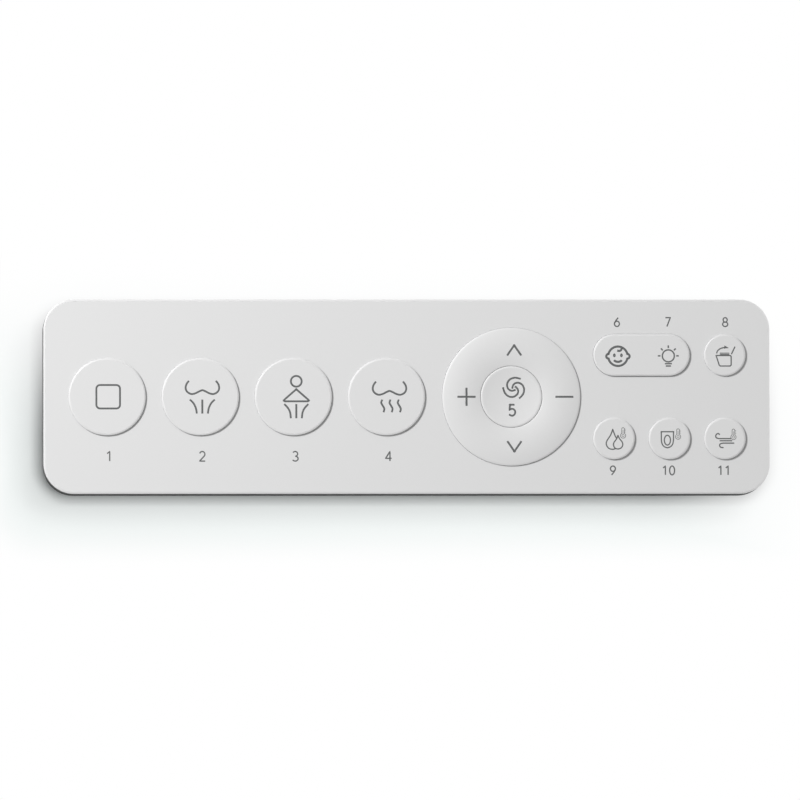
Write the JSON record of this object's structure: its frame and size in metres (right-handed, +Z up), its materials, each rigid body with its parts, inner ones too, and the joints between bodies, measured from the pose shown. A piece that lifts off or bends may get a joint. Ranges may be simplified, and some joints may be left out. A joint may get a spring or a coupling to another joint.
{
  "type": "bidet seat remote control",
  "caption": "Slim wall remote with round push keys, a four-way ring with a centre key, a rocker key and a sliding battery door in its back.",
  "frame": {"origin": "middle of the flat back, on the wall plane", "axes": "+X along the remote to the right as it is read, +Z up, the face looks along -Y"},
  "size_m": [0.219, 0.0159, 0.0586],
  "materials": {
    "front_panel": "bead blasted, clear anodised",
    "key_silver": "silver grey, fine matt grain",
    "housing_grey": "moulded, light texture",
    "frame_grey": "moulded",
    "print_ink": "pad printed",
    "silicone": "moulded silicone",
    "board_green": "solder mask over glass fibre laminate",
    "contact_gold": "gold flash",
    "chip_black": "moulded epoxy",
    "tin_shield": "tinned sheet",
    "ceramic_tan": "fired ceramic",
    "contact_steel": "nickel plated spring steel",
    "cell_wrap": "plain printed sleeve over a steel can",
    "screw_steel": "zinc plated"
  },
  "bodies": {
    "case": {"front_panel": "front_panel", "key_frame": "frame_grey", "rear_housing": "housing_grey", "perimeter_gasket": "silicone", "battery_left": "cell_wrap", "battery_right": "cell_wrap", "battery_contact_plate": "contact_steel", "battery_contact_spring": "contact_steel", "main_board": "board_green", "contact_pads": "contact_gold", "keypad_mat": "silicone", "controller_chip": "chip_black", "radio_module": "tin_shield", "crystal": "tin_shield", "board_capacitors": "ceramic_tan", "dpad_guide_collar": "frame_grey", "case_screws": "screw_steel", "screw_plugs": "silicone"},
    "stop_key": {"stop_button": "key_silver"},
    "rear_wash_key": {"rear_wash_button": "key_silver"},
    "front_wash_key": {"front_wash_button": "key_silver"},
    "dryer_key": {"dryer_button": "key_silver"},
    "flush_key": {"flush_button": "key_silver"},
    "lid_key": {"lid_button": "key_silver"},
    "water_temp_key": {"water_temp_button": "key_silver"},
    "seat_temp_key": {"seat_temp_button": "key_silver"},
    "air_temp_key": {"air_temp_button": "key_silver"},
    "dpad_cushion": {"dpad_cushion_ring": "silicone"},
    "dpad": {"dpad_ring": "key_silver"},
    "rocker": {"child_light_rocker": "key_silver"},
    "door": {"battery_door": "housing_grey"}
  },
  "joints": [
    {"name": "stop_press", "type": "slide", "parent": "case", "child": "stop_key", "axis": [0, 1, 0], "range_m": [0, 0.0006], "stiffness_N_per_m": 1600, "deforming": ["keypad_mat"]},
    {"name": "rear_wash_press", "type": "slide", "parent": "case", "child": "rear_wash_key", "axis": [0, 1, 0], "range_m": [0, 0.0006], "stiffness_N_per_m": 1600, "deforming": ["keypad_mat"]},
    {"name": "front_wash_press", "type": "slide", "parent": "case", "child": "front_wash_key", "axis": [0, 1, 0], "range_m": [0, 0.0006], "stiffness_N_per_m": 1600, "deforming": ["keypad_mat"]},
    {"name": "dryer_press", "type": "slide", "parent": "case", "child": "dryer_key", "axis": [0, 1, 0], "range_m": [0, 0.0006], "stiffness_N_per_m": 1600, "deforming": ["keypad_mat"]},
    {"name": "flush_press", "type": "slide", "parent": "case", "child": "flush_key", "axis": [0, 1, 0], "range_m": [0, 0.0006], "stiffness_N_per_m": 1600, "deforming": ["keypad_mat"]},
    {"name": "lid_press", "type": "slide", "parent": "case", "child": "lid_key", "axis": [0, 1, 0], "range_m": [0, 0.0006], "stiffness_N_per_m": 1600, "deforming": ["keypad_mat"]},
    {"name": "water_temp_press", "type": "slide", "parent": "case", "child": "water_temp_key", "axis": [0, 1, 0], "range_m": [0, 0.0006], "stiffness_N_per_m": 1600, "deforming": ["keypad_mat"]},
    {"name": "seat_temp_press", "type": "slide", "parent": "case", "child": "seat_temp_key", "axis": [0, 1, 0], "range_m": [0, 0.0006], "stiffness_N_per_m": 1600, "deforming": ["keypad_mat"]},
    {"name": "air_temp_press", "type": "slide", "parent": "case", "child": "air_temp_key", "axis": [0, 1, 0], "range_m": [0, 0.0006], "stiffness_N_per_m": 1600, "deforming": ["keypad_mat"]},
    {"name": "dpad_tilt_side", "type": "hinge", "parent": "case", "child": "dpad_cushion", "pos_m": [0.03152, -0.0132, -0.00007], "axis": [0, 0, 1], "range_deg": [-1.5, 1.5], "stiffness_Nm_per_rad": 0.7, "deforming": ["keypad_mat", "dpad_cushion_ring"]},
    {"name": "dpad_tilt_up", "type": "hinge", "parent": "dpad_cushion", "child": "dpad", "pos_m": [0.03152, -0.0132, -0.00007], "axis": [1, 0, 0], "range_deg": [-1.5, 1.5], "stiffness_Nm_per_rad": 0.7, "deforming": ["keypad_mat", "dpad_cushion_ring"]},
    {"name": "rocker_tilt", "type": "hinge", "parent": "case", "child": "rocker", "pos_m": [0.07082, -0.0123, 0.01253], "axis": [0, 0, 1], "range_deg": [-2, 2], "stiffness_Nm_per_rad": 0.23, "deforming": ["keypad_mat"]},
    {"name": "door_slide", "type": "slide", "parent": "case", "child": "door", "axis": [0, 0, -1], "range_m": [0, 0.014]}
  ]
}
